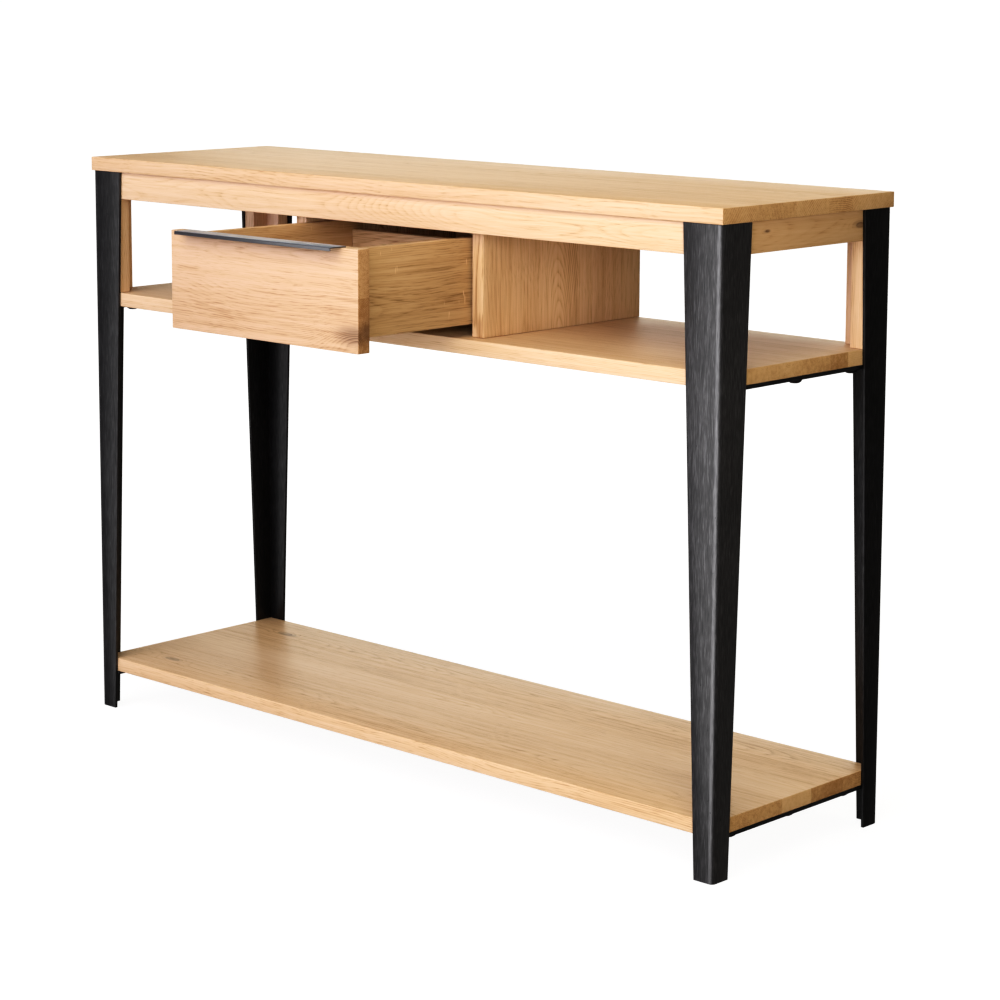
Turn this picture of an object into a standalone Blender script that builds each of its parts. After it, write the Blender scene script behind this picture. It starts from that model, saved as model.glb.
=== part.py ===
"""Console table: solid oak case and shelf carried by two folded-steel leg frames, with one drawer.

Metres, +Z up, +X to the right when facing the drawer, the drawer opens towards -Y. The drawer is shown
pulled out by DRAWER_PULL, and the origin lies on the floor under the centre of the whole bounding box.
"""
import math

import bmesh
import bpy

# ---- overall sizes -----------------------------------------------------------------------------------
TABLE_LENGTH = 1.200
TABLE_DEPTH = 0.350
TABLE_HEIGHT = 0.838
BOARD = 0.020                  # thickness of every oak board
GAP = 0.0003                   # clearance between pieces that touch
EDGE_EASE = 0.0006             # small chamfer along board edges

# ---- leg frames (folded sheet steel) -------------------------------------------------------------------
TOP_OVERHANG = 0.002           # top board past the outer face of a leg
STEEL = 0.0042                 # sheet thickness
BEND_RADIUS = 0.006            # outside radius of the fold
FLANGE_FOOT = 0.0305           # flange width at the floor
FLANGE_TOP_FACE = 0.061        # width under the top, flange that faces front or back
FLANGE_TOP_SIDE = 0.0575       # width under the top, flange that faces the side
BAR_WIDTH = 0.030
BAR_THICKNESS = 0.005
BOLT_HEAD_RADIUS = 0.010
BOLT_HEAD_HEIGHT = 0.006
BOLT_SHANK_RADIUS = 0.003
BOLT_BITE = 0.012              # shank length inside the shelf board
BOLT_SPACING = 0.118           # from the middle bolt of a bar to each outer one
HOLE_CLEARANCE = 0.0004

# ---- oak case --------------------------------------------------------------------------------------
APRON_HEIGHT = 0.040
NICHE_HEIGHT = 0.140           # clear height between middle shelf and apron
LOW_SHELF_TOP = 0.0775
POST_WIDTH = 0.047             # each arm of the L-shaped corner posts
BAY_WIDTH = 0.320              # clear width between the two dividers

# ---- drawer ----------------------------------------------------------------------------------------
DRAWER_PULL = 0.205            # how far the drawer stands open at rest
FRONT_SETBACK = 0.001          # between the drawer front and the dividers when shut
FRONT_FOOT_GAP = 0.002         # under the drawer front
FRONT_HEIGHT = 0.132
WALL = 0.014                   # drawer side and back thickness
SIDE_CLEARANCE = 0.005         # between a drawer side and its divider
SIDE_FOOT_GAP = 0.0168         # between the sides and the middle shelf
SIDE_DROP = 0.003              # sides stop this far below the top of the front
BACK_DROP = 0.017              # back stops this far below the top of the front
BOX_DEPTH = 0.2895             # drawer box behind its front
BOTTOM = 0.008
BOTTOM_RISE = 0.0149           # from the foot of the sides up to the bottom panel
GROOVE = 0.006                 # depth of the bottom panel's groove in the sides

# ---- edge pull on the drawer front -------------------------------------------------------------------
PULL_LENGTH = 0.300
PULL_PLATE = 0.0016
PULL_REACH = 0.020             # in front of the drawer front
PULL_LAND = 0.008              # on top of the front, up to the tongue
PULL_LIP = 0.0048
PULL_TONGUE = 0.008
PULL_BEND = 0.0011

# ---- under-mounted runners ---------------------------------------------------------------------------
RUNNER_LENGTH = 0.250
RUNNER_SETBACK = 0.0315        # from the divider's front edge to the runner
SHEET = 0.0015                 # runner sheet thickness
CABINET_RAIL_WIDTH = 0.0462
CABINET_RAIL_HEIGHT = 0.030    # top of its flange, above the middle shelf
CABINET_RAIL_LIFT = 0.0055     # its trough, above the middle shelf
DECK_HEIGHT = 0.018            # its deck, which carries the middle rail, above the middle shelf
DECK_LIP = 0.0065
SIDE_TO_DECK = 0.0015          # between the drawer side's inner face and the deck
MIDDLE_RAIL_LENGTH = 0.200
MIDDLE_RAIL_START = 0.0535     # behind the cabinet rail's front end when shut
MIDDLE_RAIL_INSET = 0.0015     # from the deck's outer edge
MIDDLE_RAIL_WIDTH = 0.022
MIDDLE_RAIL_HEIGHT = 0.009
MIDDLE_RAIL_LIFT = 0.001       # above the deck
DRAWER_RAIL_WIDTH = 0.031
DRAWER_RAIL_INSET = 0.0008     # from the drawer side's inner face
DRAWER_WEB_MARGIN = 0.0025     # between a web of the drawer rail and the middle rail's wall
DRAWER_WEB_LIFT = 0.0025       # between that web and the middle rail's floor
CLIP_LENGTH = 0.028
CLIP_WIDTH = 0.024
CLIP_HEIGHT = 0.0159
CLIP_INSET = 0.001             # from the drawer side's inner face
CLIP_LEVER = 0.010
SCREW_HEAD_RADIUS = 0.0035
SCREW_HEAD_HEIGHT = 0.0018
SCREW_SHANK_RADIUS = 0.0018
SCREW_BITE = 0.012
SCREW_PLACES = (0.25, 0.75)    # along a runner, as shares of its length

# ---- derived planes ----------------------------------------------------------------------------------
TOP_UNDERSIDE = TABLE_HEIGHT - BOARD
APRON_FOOT = TOP_UNDERSIDE - APRON_HEIGHT
MIDDLE_SHELF_TOP = APRON_FOOT - NICHE_HEIGHT
LEG_X = TABLE_LENGTH / 2 - TOP_OVERHANG          # outer faces of the legs
LEG_Y = TABLE_DEPTH / 2 - TOP_OVERHANG
WOOD_X = LEG_X - STEEL - GAP                     # outer faces of the oak inside the legs
WOOD_Y = LEG_Y - STEEL - GAP
BAY_X = BAY_WIDTH / 2
DIVIDER_FRONT = -WOOD_Y + BOARD + FRONT_SETBACK
FRONT_FOOT = MIDDLE_SHELF_TOP + FRONT_FOOT_GAP
FRONT_TOP = FRONT_FOOT + FRONT_HEIGHT
SIDE_FOOT = MIDDLE_SHELF_TOP + SIDE_FOOT_GAP
SIDE_X = BAY_X - SIDE_CLEARANCE                  # outer faces of the drawer sides
BOX_FRONT = -WOOD_Y + BOARD + GAP                # of the shut drawer
BOX_BACK = BOX_FRONT + BOX_DEPTH
BOTTOM_FOOT = SIDE_FOOT + BOTTOM_RISE
RUNNER_FRONT = DIVIDER_FRONT + RUNNER_SETBACK
SIDE_INNER_X = SIDE_X - WALL                     # inner faces of the drawer sides
DECK_X = SIDE_INNER_X - SIDE_TO_DECK             # outer edges of the cabinet rails' decks
MIDDLE_RAIL_X = DECK_X - MIDDLE_RAIL_INSET       # outer faces of the middle rails
PULL_FRONT = -WOOD_Y - PULL_REACH
# Half the overhang of the open drawer, so that the origin is central under the bounding box.
CASE_Y = -(PULL_FRONT - DRAWER_PULL + TABLE_DEPTH / 2) / 2

CORNERS = {"front_left": (-1, -1), "front_right": (1, -1), "back_left": (-1, 1), "back_right": (1, 1)}
SIDES = {"left": -1, "right": 1}


def clear_scene():
    for old in list(bpy.data.objects):
        bpy.data.objects.remove(old, do_unlink=True)


def make_material(name, color, roughness, metallic=0.0):
    material = bpy.data.materials.new(name)
    material.use_nodes = True
    shader = material.node_tree.nodes["Principled BSDF"]
    shader.inputs["Base Color"].default_value = (*color, 1.0)
    shader.inputs["Roughness"].default_value = roughness
    shader.inputs["Metallic"].default_value = metallic
    return material


def make_empty(name, parent=None, location=(0, 0, 0)):
    empty = bpy.data.objects.new(name, None)
    empty.parent = parent
    empty.location = location
    bpy.context.collection.objects.link(empty)
    return empty


def link_mesh(name, bm, look, parent, location=(0, 0, 0)):
    """Turns a bmesh into a named object with its own material, facing out."""
    bmesh.ops.recalc_face_normals(bm, faces=bm.faces)
    mesh = bpy.data.meshes.new(name)
    bm.to_mesh(mesh)
    bm.free()
    item = bpy.data.objects.new(name, mesh)
    item.parent = parent
    item.location = location
    mesh.materials.append(make_material(name, *look))
    bpy.context.collection.objects.link(item)
    return item


def ease_edges(item, width=EDGE_EASE):
    bevel = item.modifiers.new("eased_edges", "BEVEL")
    bevel.width = width
    bevel.segments = 1
    bevel.limit_method = "ANGLE"
    bevel.angle_limit = math.radians(40)


def add_board(name, low, high, look, parent, eased=True):
    """A rectangular board between two corners, with its origin at its own centre."""
    size = [b - a for a, b in zip(low, high)]
    centre = [(a + b) / 2 for a, b in zip(low, high)]
    bm = bmesh.new()
    bmesh.ops.create_cube(bm, size=1.0)
    bmesh.ops.scale(bm, vec=size, verts=bm.verts)
    item = link_mesh(name, bm, look, parent, centre)
    if eased:
        ease_edges(item)
    return item


def add_prism(name, outline, axis, start, stop, look, parent):
    """An outline in the plane across axis ("X": y, z; "Y": x, z), extruded from start to stop."""
    bm = bmesh.new()
    if axis == "X":
        ring = [bm.verts.new((start, a, b)) for a, b in outline]
        step = (stop - start, 0, 0)
    else:
        ring = [bm.verts.new((a, start, b)) for a, b in outline]
        step = (0, stop - start, 0)
    face = bm.faces.new(ring)
    made = bmesh.ops.extrude_face_region(bm, geom=[face])
    moved = [v for v in made["geom"] if isinstance(v, bmesh.types.BMVert)]
    bmesh.ops.translate(bm, vec=step, verts=moved)
    return link_mesh(name, bm, look, parent)


def arc(centre, radius, start, stop, steps):
    """Points on an arc, angles in degrees."""
    points = []
    for i in range(steps + 1):
        angle = math.radians(start + (stop - start) * i / steps)
        points.append((centre[0] + radius * math.cos(angle), centre[1] + radius * math.sin(angle)))
    return points


def add_turned(name, profile, look, parent, location, direction=(0, 0, 1), steps=16):
    """Spins a profile of (radius, height) points, which begins and ends on the axis."""
    bm = bmesh.new()
    rings = []
    for radius, height in profile:
        if radius == 0:
            rings.append([bm.verts.new((0, 0, height))])
        else:
            turn = [2 * math.pi * i / steps for i in range(steps)]
            rings.append([bm.verts.new((radius * math.cos(t), radius * math.sin(t), height)) for t in turn])
    for below, above in zip(rings, rings[1:]):
        for i in range(steps):
            j = (i + 1) % steps
            if len(below) == 1:
                bm.faces.new((below[0], above[i], above[j]))
            elif len(above) == 1:
                bm.faces.new((below[i], below[j], above[0]))
            else:
                bm.faces.new((below[i], below[j], above[j], above[i]))
    item = link_mesh(name, bm, look, parent, location)
    if direction[0]:
        item.rotation_euler = (0, math.copysign(math.pi / 2, direction[0]), 0)
    item.data.shade_smooth()
    item.data.set_sharp_from_angle(angle=math.radians(35))
    return item


def cut_holes(item, places, radius, low, high, axis="Z", steps=16):
    """Cuts round holes through item at places, between the levels low and high along axis."""
    bm = bmesh.new()
    for place in places:
        made = bmesh.ops.create_cone(bm, cap_ends=True, segments=steps, radius1=radius, radius2=radius,
                                     depth=high - low)
        if axis == "X":
            turn = ((0, 0, 1), (0, 1, 0), (-1, 0, 0))
            for v in made["verts"]:
                v.co = [sum(row[i] * v.co[i] for i in range(3)) for row in turn]
            offset = ((low + high) / 2, place[0], place[1])
        else:
            offset = (place[0], place[1], (low + high) / 2)
        bmesh.ops.translate(bm, vec=offset, verts=made["verts"])
    add_cutter(item, bm)


def add_cutter(item, bm):
    """Subtracts a hidden cutter, given in the parent's coordinates, from item."""
    cutter = link_mesh(item.name + "_cutter", bm, STEEL_LOOK, item.parent)
    cutter.hide_render = True
    cutter.display_type = "WIRE"
    cut = item.modifiers.new("cut", "BOOLEAN")
    cut.operation = "DIFFERENCE"
    cut.solver = "EXACT"
    cut.object = cutter


# Colours are linear RGB, then roughness and metallic.
OAK_LOOK = ((0.62, 0.40, 0.21), 0.55)
OAK_DARK_LOOK = ((0.40, 0.22, 0.09), 0.55)
STEEL_LOOK = ((0.030, 0.029, 0.030), 0.38, 0.8)
ZINC_LOOK = ((0.45, 0.45, 0.44), 0.35, 1.0)
PULL_LOOK = ((0.23, 0.23, 0.24), 0.35, 0.9)
CLIP_LOOK = ((0.05, 0.05, 0.05), 0.6)


def build_top_and_aprons(case):
    half_x, half_y = TABLE_LENGTH / 2, TABLE_DEPTH / 2
    add_board("top_board", (-half_x, -half_y, TOP_UNDERSIDE), (half_x, half_y, TABLE_HEIGHT), OAK_LOOK, case)
    top = TOP_UNDERSIDE - GAP
    for name, side in (("front", -1), ("back", 1)):
        y = sorted((side * WOOD_Y, side * (WOOD_Y - BOARD)))
        add_board("apron_" + name, (-WOOD_X, y[0], APRON_FOOT), (WOOD_X, y[1], top), OAK_LOOK, case)
    reach = WOOD_Y - BOARD - GAP
    for name, side in SIDES.items():
        x = sorted((side * WOOD_X, side * (WOOD_X - BOARD)))
        add_board("apron_" + name, (x[0], -reach, APRON_FOOT), (x[1], reach, top), OAK_LOOK, case)


def build_posts(case):
    """Two boards in an L at each corner, between the middle shelf and the apron frame."""
    foot, top = MIDDLE_SHELF_TOP + GAP, APRON_FOOT - GAP
    for name, (sx, sy) in CORNERS.items():
        x = sorted((sx * WOOD_X, sx * (WOOD_X - BOARD)))
        y = sorted((sy * WOOD_Y, sy * (WOOD_Y - POST_WIDTH)))
        add_board("post_side_" + name, (x[0], y[0], foot), (x[1], y[1], top), OAK_LOOK, case)
        x = sorted((sx * (WOOD_X - BOARD - GAP), sx * (WOOD_X - POST_WIDTH)))
        y = sorted((sy * WOOD_Y, sy * (WOOD_Y - BOARD)))
        add_board("post_face_" + name, (x[0], y[0], foot), (x[1], y[1], top), OAK_LOOK, case)


def bolt_places(side):
    x = side * (WOOD_X - BAR_WIDTH / 2)
    return [(x, i * BOLT_SPACING) for i in (-1, 0, 1)]


def build_shelf(case, name, top):
    """A full-length shelf with blind holes in its underside for the bolts of both crossbars."""
    foot = top - BOARD
    shelf = add_board(name, (-WOOD_X, -WOOD_Y, foot), (WOOD_X, WOOD_Y, top), OAK_LOOK, case)
    places = bolt_places(-1) + bolt_places(1)
    cut_holes(shelf, places, BOLT_SHANK_RADIUS + HOLE_CLEARANCE, foot - BOARD, foot + BOLT_BITE + GAP)
    return shelf


def build_dividers(case):
    """Upright boards that reach the top board, notched over the back apron."""
    foot, top = MIDDLE_SHELF_TOP + GAP, TOP_UNDERSIDE - GAP
    notch_z, notch_y = APRON_FOOT - GAP, WOOD_Y - BOARD - GAP
    outline = [
        (DIVIDER_FRONT, foot),
        (WOOD_Y, foot),
        (WOOD_Y, notch_z),
        (notch_y, notch_z),
        (notch_y, top),
        (DIVIDER_FRONT, top),
    ]
    for name, side in SIDES.items():
        x = sorted((side * BAY_X, side * (BAY_X + BOARD)))
        divider = add_prism("divider_" + name, outline, "X", x[0], x[1], OAK_LOOK, case)
        ease_edges(divider)
        level = MIDDLE_SHELF_TOP + CABINET_RAIL_HEIGHT - 2 * SCREW_HEAD_RADIUS
        places = [(RUNNER_FRONT + share * RUNNER_LENGTH, level) for share in SCREW_PLACES]
        reach = sorted((side * (BAY_X - SHEET), side * (BAY_X + SCREW_BITE + GAP)))
        cut_holes(divider, places, SCREW_SHANK_RADIUS + HOLE_CLEARANCE, reach[0], reach[1], "X")
    inner = BAY_X - GAP
    add_board("bay_back_panel", (-inner, WOOD_Y - BOARD, foot), (inner, WOOD_Y, notch_z), OAK_LOOK, case)


def leg_section(face, side):
    """L-shaped section of a leg at the +X +Y corner, for given widths of its two flanges."""
    centre = (LEG_X - BEND_RADIUS, LEG_Y - BEND_RADIUS)
    outside = arc(centre, BEND_RADIUS, 0, 90, 6)
    inside = [(LEG_X - STEEL, LEG_Y - STEEL)]
    end_face = [(LEG_X - face, LEG_Y), (LEG_X - face, LEG_Y - STEEL)]
    end_side = [(LEG_X - STEEL, LEG_Y - side), (LEG_X, LEG_Y - side)]
    return outside + end_face + inside + end_side


def build_leg(name, sx, sy, case):
    """A tapering folded leg; both ends have the same fold, so its faces stay flat."""
    sections = (
        (0.0, leg_section(FLANGE_FOOT, FLANGE_FOOT)),
        (TOP_UNDERSIDE - GAP, leg_section(FLANGE_TOP_FACE, FLANGE_TOP_SIDE)),
    )
    bm = bmesh.new()
    rings = [[bm.verts.new((sx * x, sy * y, z)) for x, y in outline] for z, outline in sections]
    count = len(rings[0])
    for i in range(count):
        j = (i + 1) % count
        bm.faces.new((rings[0][i], rings[0][j], rings[1][j], rings[1][i]))
    for ring in rings:
        bm.faces.new(ring)
    leg = link_mesh("leg_" + name, bm, STEEL_LOOK, case)
    leg.data.shade_smooth()
    leg.data.set_sharp_from_angle(angle=math.radians(30))


def build_leg_frames(case):
    """Legs, the flat bars that tie them front to back, and the bolts up into the shelves."""
    for name, (sx, sy) in CORNERS.items():
        build_leg(name, sx, sy, case)
    head = BOLT_HEAD_RADIUS
    profile = [(0, -BOLT_HEAD_HEIGHT), (head * 0.55, -BOLT_HEAD_HEIGHT * 0.93),
               (head * 0.86, -BOLT_HEAD_HEIGHT * 0.62), (head, -BOLT_HEAD_HEIGHT * 0.2), (head, 0),
               (BOLT_SHANK_RADIUS, 0), (BOLT_SHANK_RADIUS, BAR_THICKNESS + 2 * GAP + BOLT_BITE),
               (0, BAR_THICKNESS + 2 * GAP + BOLT_BITE)]
    for level, shelf_top in (("middle", MIDDLE_SHELF_TOP), ("low", LOW_SHELF_TOP)):
        top = shelf_top - BOARD - GAP
        foot = top - BAR_THICKNESS
        for name, side in SIDES.items():
            x = sorted((side * WOOD_X, side * (WOOD_X - BAR_WIDTH)))
            bar = add_board(f"crossbar_{level}_{name}", (x[0], -WOOD_Y, foot), (x[1], WOOD_Y, top),
                            STEEL_LOOK, case, eased=False)
            places = bolt_places(side)
            cut_holes(bar, places, BOLT_SHANK_RADIUS + HOLE_CLEARANCE, foot - BOARD, top + BOARD / 2)
            for number, (bolt_x, bolt_y) in enumerate(places, 1):
                add_turned(f"bolt_{level}_{name}_{number}", profile, STEEL_LOOK, case,
                           (bolt_x, bolt_y, foot - GAP))


def build_drawer_box(drawer):
    """Front, sides, back and grooved-in bottom, in the coordinates of the shut drawer."""
    front_x = BAY_X + BOARD
    front = add_board("drawer_front", (-front_x, -WOOD_Y, FRONT_FOOT), (front_x, -WOOD_Y + BOARD, FRONT_TOP),
                      OAK_LOOK, drawer)
    slot = bmesh.new()
    bmesh.ops.create_cube(slot, size=1.0)
    slot_depth = PULL_TONGUE + GAP
    slot_y = -WOOD_Y + PULL_LAND - PULL_PLATE / 2
    bmesh.ops.scale(slot, vec=(PULL_LENGTH + 2 * GAP, PULL_PLATE + 2 * GAP, 2 * slot_depth), verts=slot.verts)
    bmesh.ops.translate(slot, vec=(0, slot_y, FRONT_TOP), verts=slot.verts)
    add_cutter(front, slot)

    side_top = FRONT_TOP - SIDE_DROP
    groove_foot, groove_top = BOTTOM_FOOT - GAP, BOTTOM_FOOT + BOTTOM + GAP
    inner = SIDE_INNER_X
    for name, side in SIDES.items():
        outline = [(SIDE_X, SIDE_FOOT), (SIDE_X, side_top), (inner, side_top), (inner, groove_top),
                   (inner + GROOVE, groove_top), (inner + GROOVE, groove_foot), (inner, groove_foot),
                   (inner, SIDE_FOOT)]
        outline = [(side * x, z) for x, z in outline]
        wall = add_prism("drawer_side_" + name, outline, "Y", BOX_FRONT, BOX_BACK, OAK_DARK_LOOK, drawer)
        ease_edges(wall)
    add_board("drawer_back", (-inner + GAP, BOX_BACK - WALL, groove_top),
              (inner - GAP, BOX_BACK, FRONT_TOP - BACK_DROP), OAK_DARK_LOOK, drawer)
    reach = inner + GROOVE - GAP
    add_board("drawer_bottom", (-reach, BOX_FRONT, BOTTOM_FOOT), (reach, BOX_BACK, BOTTOM_FOOT + BOTTOM),
              OAK_DARK_LOOK, drawer, eased=False)


def build_pull(drawer):
    """Edge pull: a plate over the front's top edge, with a turned-down lip and a tongue in a slot."""
    top = FRONT_TOP + GAP + PULL_PLATE
    lip_y = PULL_FRONT
    tongue_back = -WOOD_Y + PULL_LAND
    tongue_foot = FRONT_TOP - PULL_TONGUE + GAP
    outline = arc((lip_y + PULL_BEND, top - PULL_BEND), PULL_BEND, 180, 90, 3)
    outline += [
        (tongue_back, top),
        (tongue_back, tongue_foot),
        (tongue_back - PULL_PLATE, tongue_foot),
        (tongue_back - PULL_PLATE, top - PULL_PLATE),
        (lip_y + PULL_PLATE, top - PULL_PLATE),
        (lip_y + PULL_PLATE, top - PULL_LIP),
        (lip_y, top - PULL_LIP),
    ]
    half = PULL_LENGTH / 2
    add_prism("edge_pull", outline, "X", -half, half, PULL_LOOK, drawer)


def channel(side, near, width, foot, height, sheet):
    """Upward-open U section whose outer face is at near, on the side of the divider."""
    far = near - width
    outline = [(near, foot), (near, foot + height), (near - sheet, foot + height), (near - sheet, foot + sheet),
               (far + sheet, foot + sheet), (far + sheet, foot + height), (far, foot + height), (far, foot)]
    return [(side * x, z) for x, z in outline]


def cabinet_rail_section(side):
    """Flange on the divider, trough under the drawer side, then a raised deck with a lip."""
    near, far = BAY_X - GAP, BAY_X - GAP - CABINET_RAIL_WIDTH
    foot, flange_top = MIDDLE_SHELF_TOP + CABINET_RAIL_LIFT, MIDDLE_SHELF_TOP + CABINET_RAIL_HEIGHT
    deck = MIDDLE_SHELF_TOP + DECK_HEIGHT
    outline = [(near, foot), (near, flange_top), (near - SHEET, flange_top), (near - SHEET, foot + SHEET),
               (DECK_X, foot + SHEET), (DECK_X, deck), (far + SHEET, deck), (far + SHEET, deck + DECK_LIP),
               (far, deck + DECK_LIP), (far, deck - SHEET), (DECK_X - SHEET, deck - SHEET),
               (DECK_X - SHEET, foot)]
    return [(side * x, z) for x, z in outline]


def build_runner(name, side, case, middle, drawer):
    """One under-mounted runner: cabinet rail, middle rail and drawer rail, with clip and screws."""
    stop = RUNNER_FRONT + RUNNER_LENGTH
    section = cabinet_rail_section(side)
    rail = add_prism("cabinet_rail_" + name, section, "Y", RUNNER_FRONT, stop, ZINC_LOOK, case)
    near = BAY_X - GAP
    level = MIDDLE_SHELF_TOP + CABINET_RAIL_HEIGHT - 2 * SCREW_HEAD_RADIUS
    places = [(RUNNER_FRONT + share * RUNNER_LENGTH, level) for share in SCREW_PLACES]
    reach = sorted((side * (near - 2 * SHEET), side * (near + SHEET)))
    cut_holes(rail, places, SCREW_SHANK_RADIUS + HOLE_CLEARANCE, reach[0], reach[1], "X")
    shank = SHEET + 2 * GAP + SCREW_BITE
    profile = [(0, -SCREW_HEAD_HEIGHT), (SCREW_HEAD_RADIUS * 0.7, -SCREW_HEAD_HEIGHT), (SCREW_HEAD_RADIUS, 0),
               (SCREW_SHANK_RADIUS, 0), (SCREW_SHANK_RADIUS, shank), (0, shank)]
    for number, (y, z) in enumerate(places, 1):
        add_turned(f"rail_screw_{name}_{number}", profile, ZINC_LOOK, case,
                   (side * (near - SHEET - GAP), y, z), (side, 0, 0), 12)

    foot = MIDDLE_SHELF_TOP + DECK_HEIGHT + MIDDLE_RAIL_LIFT
    start = RUNNER_FRONT + MIDDLE_RAIL_START
    outline = channel(side, MIDDLE_RAIL_X, MIDDLE_RAIL_WIDTH, foot, MIDDLE_RAIL_HEIGHT, SHEET)
    add_prism("middle_rail_" + name, outline, "Y", start, start + MIDDLE_RAIL_LENGTH, ZINC_LOOK, middle)

    plate_top = BOTTOM_FOOT - GAP
    plate_foot = plate_top - SHEET
    outer = SIDE_INNER_X - DRAWER_RAIL_INSET
    inner = outer - DRAWER_RAIL_WIDTH
    web = SHEET + DRAWER_WEB_MARGIN
    web_outer = MIDDLE_RAIL_X - web
    web_inner = MIDDLE_RAIL_X - MIDDLE_RAIL_WIDTH + web
    web_foot = foot + SHEET + DRAWER_WEB_LIFT
    outline = [(outer, plate_top), (outer, plate_foot), (web_outer, plate_foot), (web_outer, web_foot),
               (web_outer - SHEET, web_foot), (web_outer - SHEET, plate_foot), (web_inner + SHEET, plate_foot),
               (web_inner + SHEET, web_foot), (web_inner, web_foot), (web_inner, plate_foot),
               (inner, plate_foot), (inner, plate_top)]
    outline = [(side * x, z) for x, z in outline]
    add_prism("drawer_rail_" + name, outline, "Y", RUNNER_FRONT, stop, ZINC_LOOK, drawer)

    clip_back = RUNNER_FRONT - GAP
    clip_front = clip_back - CLIP_LENGTH
    clip_foot = plate_top - CLIP_HEIGHT
    outline = [(clip_back, plate_top), (clip_back, plate_top - CLIP_HEIGHT / 2),
               (clip_back - CLIP_LEVER, clip_foot), (clip_front + CLIP_LEVER / 2, clip_foot),
               (clip_front, clip_foot + CLIP_HEIGHT / 3), (clip_front, plate_top)]
    clip_outer = SIDE_INNER_X - CLIP_INSET
    x = sorted((side * clip_outer, side * (clip_outer - CLIP_WIDTH)))
    add_prism("locking_clip_" + name, outline, "X", x[0], x[1], CLIP_LOOK, drawer)


def build_table():
    clear_scene()
    case = make_empty("case_frame", None, (0, CASE_Y, 0))
    drawer = make_empty("drawer_slide", case, (0, -DRAWER_PULL, 0))
    middle = make_empty("middle_rail_slide", case, (0, -DRAWER_PULL / 2, 0))
    build_top_and_aprons(case)
    build_posts(case)
    build_shelf(case, "middle_shelf", MIDDLE_SHELF_TOP)
    build_shelf(case, "low_shelf", LOW_SHELF_TOP)
    build_dividers(case)
    build_leg_frames(case)
    build_drawer_box(drawer)
    build_pull(drawer)
    for name, side in SIDES.items():
        build_runner(name, side, case, middle, drawer)


build_table()
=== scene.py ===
"""Console table in oiled oak and blackened steel: the looks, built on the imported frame.

Every oak board is rebuilt with rounded edges and edge-glued staves, the steel gets softly broken edges, and
every surface has a procedural material. Metres, +Z up, the drawer opens towards -Y.
"""

import math
import random

import bmesh
import bpy
from mathutils import Matrix, Vector


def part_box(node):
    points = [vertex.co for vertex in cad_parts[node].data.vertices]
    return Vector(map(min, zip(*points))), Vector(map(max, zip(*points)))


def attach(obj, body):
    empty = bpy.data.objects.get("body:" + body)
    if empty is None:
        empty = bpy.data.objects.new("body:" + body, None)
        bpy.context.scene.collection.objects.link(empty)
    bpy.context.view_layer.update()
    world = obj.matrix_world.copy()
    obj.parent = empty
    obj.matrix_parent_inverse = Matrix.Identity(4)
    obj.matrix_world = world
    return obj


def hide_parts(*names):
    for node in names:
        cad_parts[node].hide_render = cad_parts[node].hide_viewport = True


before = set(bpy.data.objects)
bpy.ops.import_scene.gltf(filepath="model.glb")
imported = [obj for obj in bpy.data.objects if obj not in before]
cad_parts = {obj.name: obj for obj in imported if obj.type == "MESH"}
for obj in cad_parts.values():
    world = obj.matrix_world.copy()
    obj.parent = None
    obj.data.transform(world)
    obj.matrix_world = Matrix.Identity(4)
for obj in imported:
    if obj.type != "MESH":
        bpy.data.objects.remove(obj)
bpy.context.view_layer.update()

SIDES = ("left", "right")
CORNERS = ("front_left", "front_right", "back_left", "back_right")

# ---- shapes ------------------------------------------------------------------------------------------
OAK_ROUND = 0.0009             # radius along the edges of the case boards
DRAWER_ROUND = 0.0005          # radius along the edges of the drawer boards
ROUND_STEPS = 3
STEEL_ROUND = 0.0005           # broken edge of the leg sheet and the bars
PULL_ROUND = 0.00025
CLIP_ROUND = 0.0008
STAVE_WIDTHS = (0.046, 0.078)  # narrowest and widest stave in a glued board
GAP = 0.0003                   # between pieces that touch
PULL_PLATE = 0.0016            # thickness of the edge pull's sheet
SHADE_ANGLE = math.radians(32) # sharper edges than this stay crisp
WELD = 2e-6                    # distance under which a copied mesh's doubled points are joined

# ---- camera ------------------------------------------------------------------------------------------
CAMERA_PLACE = (2.629053, -2.604725, 1.128462)
CAMERA_TURN = (1.62329524, 0.64790509, -0.55475314)   # world to camera, x right, y down, z forward
CAMERA_LENS = 98.356
CAMERA_SENSOR = 36.0           # side of the square picture
CAMERA_SENSOR_WIDTH = 31.5     # only stands for the room kept around the table when it is viewed all round
CAMERA_SHIFT_Y = -0.14

rng = random.Random(11)


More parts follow.
